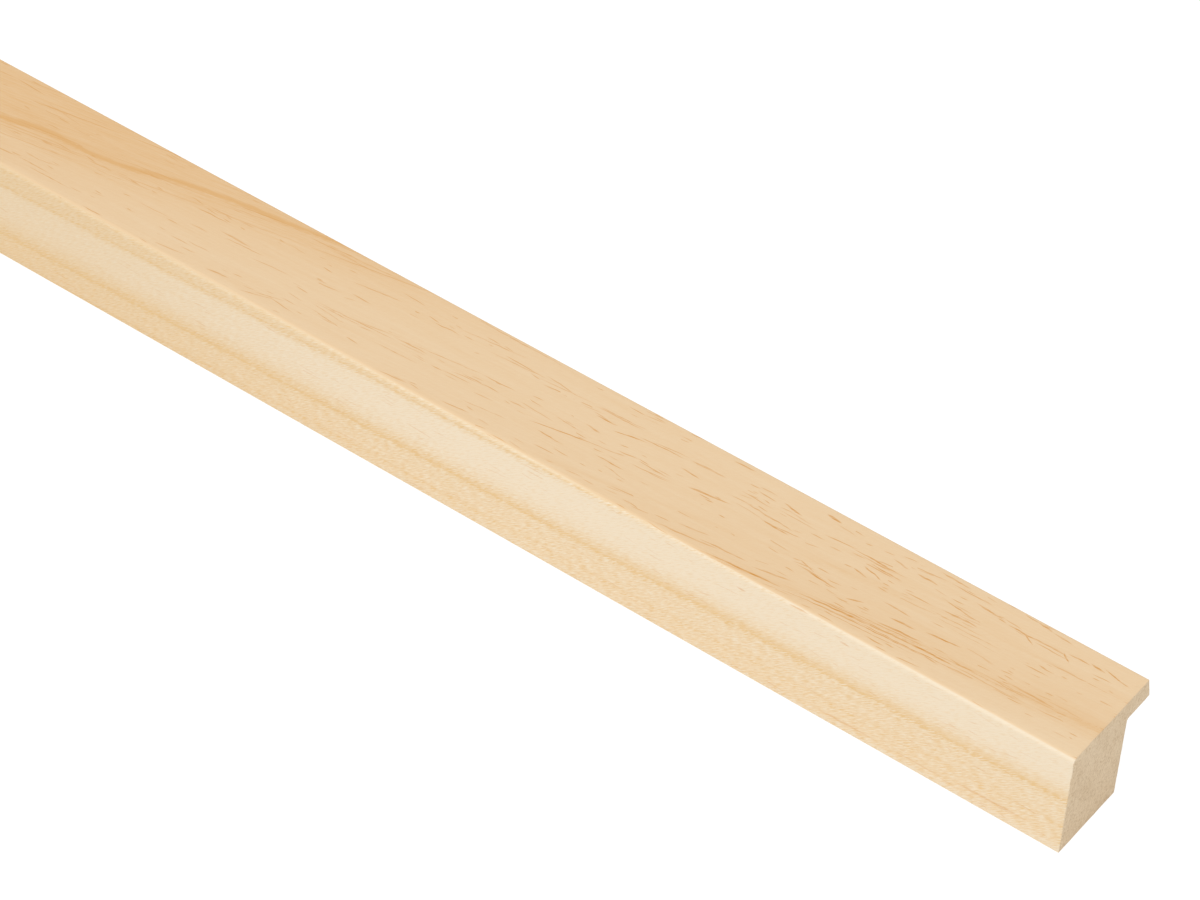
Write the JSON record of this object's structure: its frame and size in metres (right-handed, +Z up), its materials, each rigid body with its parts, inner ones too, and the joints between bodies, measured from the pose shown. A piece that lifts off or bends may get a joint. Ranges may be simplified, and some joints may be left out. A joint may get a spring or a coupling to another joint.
{
  "type": "picture frame moulding",
  "caption": "Straight length of bare wood picture frame moulding with a plain flat face, a thin lip with a bevelled sight edge and a square rebate behind it, sawn square at its ends.",
  "frame": {"origin": "on the surface that the back face lies on, below the middle of the length and of the overall width", "axes": "+X along the stock, +Y across it towards the sight edge, next to the picture, +Z up from the back face to the face"},
  "size_m": [1, 0.0213, 0.02],
  "materials": {
    "bare_wood": "bare, planed and lightly sanded, sawn across the grain at the ends"
  },
  "bodies": {
    "root": {"frame_moulding": "bare_wood"}
  },
  "joints": []
}
